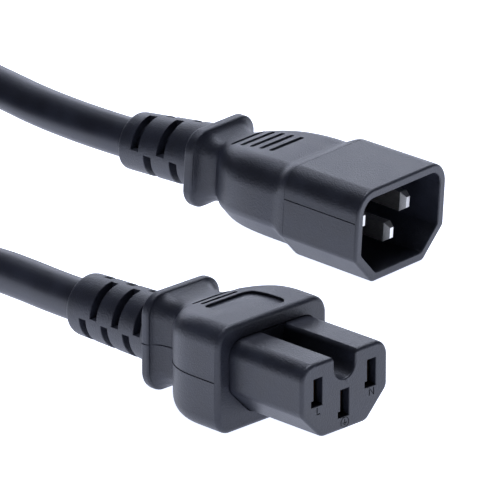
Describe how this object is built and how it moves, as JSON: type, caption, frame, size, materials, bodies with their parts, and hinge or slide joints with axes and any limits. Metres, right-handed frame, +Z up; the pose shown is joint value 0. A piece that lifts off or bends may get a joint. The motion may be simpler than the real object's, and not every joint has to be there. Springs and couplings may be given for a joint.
{
  "type": "power cord",
  "caption": "Round mains cord with a shrouded male plug at one end and a keyed socket connector at the other, both with slotted bend reliefs, the slack wound into a flat coil.",
  "frame": {"origin": "On the floor, under the middle of the straight part of the connector's housing, on the face the connector rests on.", "axes": "+X is the way the connector's nose points, +Y is towards the plug beside it, +Z is up. The plug is turned 5.5 degrees about +Z and leans 3.4 degrees forward onto the lower edge of its rim."},
  "size_m": [0.2582, 0.1342, 0.0214],
  "materials": {
    "soft_pvc_overmould": "satin moulded",
    "moulded_carrier_plastic": "satin moulded",
    "pvc_cord_jacket": "satin extruded",
    "nickel_plated_pin": "bright nickel plate",
    "phosphor_bronze_contact": "stamped strip",
    "bare_copper": "stranded",
    "brown_core_insulation": "satin extruded",
    "blue_core_insulation": "satin extruded",
    "green_yellow_core_insulation": "satin extruded",
    "woven_nylon_strap": "woven"
  },
  "bodies": {
    "root": {"plug_shroud": "moulded_carrier_plastic", "plug_overmould": "soft_pvc_overmould", "plug_line_pin": "nickel_plated_pin", "plug_neutral_pin": "nickel_plated_pin", "plug_earth_pin": "nickel_plated_pin", "plug_line_conductor": "bare_copper", "plug_neutral_conductor": "bare_copper", "plug_earth_conductor": "bare_copper", "plug_line_core": "brown_core_insulation", "plug_neutral_core": "blue_core_insulation", "plug_earth_core": "green_yellow_core_insulation", "plug_cord_end": "pvc_cord_jacket", "connector_nose": "moulded_carrier_plastic", "connector_overmould": "soft_pvc_overmould", "connector_line_contact": "phosphor_bronze_contact", "connector_neutral_contact": "phosphor_bronze_contact", "connector_earth_contact": "phosphor_bronze_contact", "connector_line_conductor": "bare_copper", "connector_neutral_conductor": "bare_copper", "connector_earth_conductor": "bare_copper", "connector_line_core": "brown_core_insulation", "connector_neutral_core": "blue_core_insulation", "connector_earth_core": "green_yellow_core_insulation", "connector_cord_end": "pvc_cord_jacket", "connector_lead": "pvc_cord_jacket", "plug_lead": "pvc_cord_jacket", "cord_coil": "pvc_cord_jacket", "coil_tie": "woven_nylon_strap"}
  },
  "joints": []
}
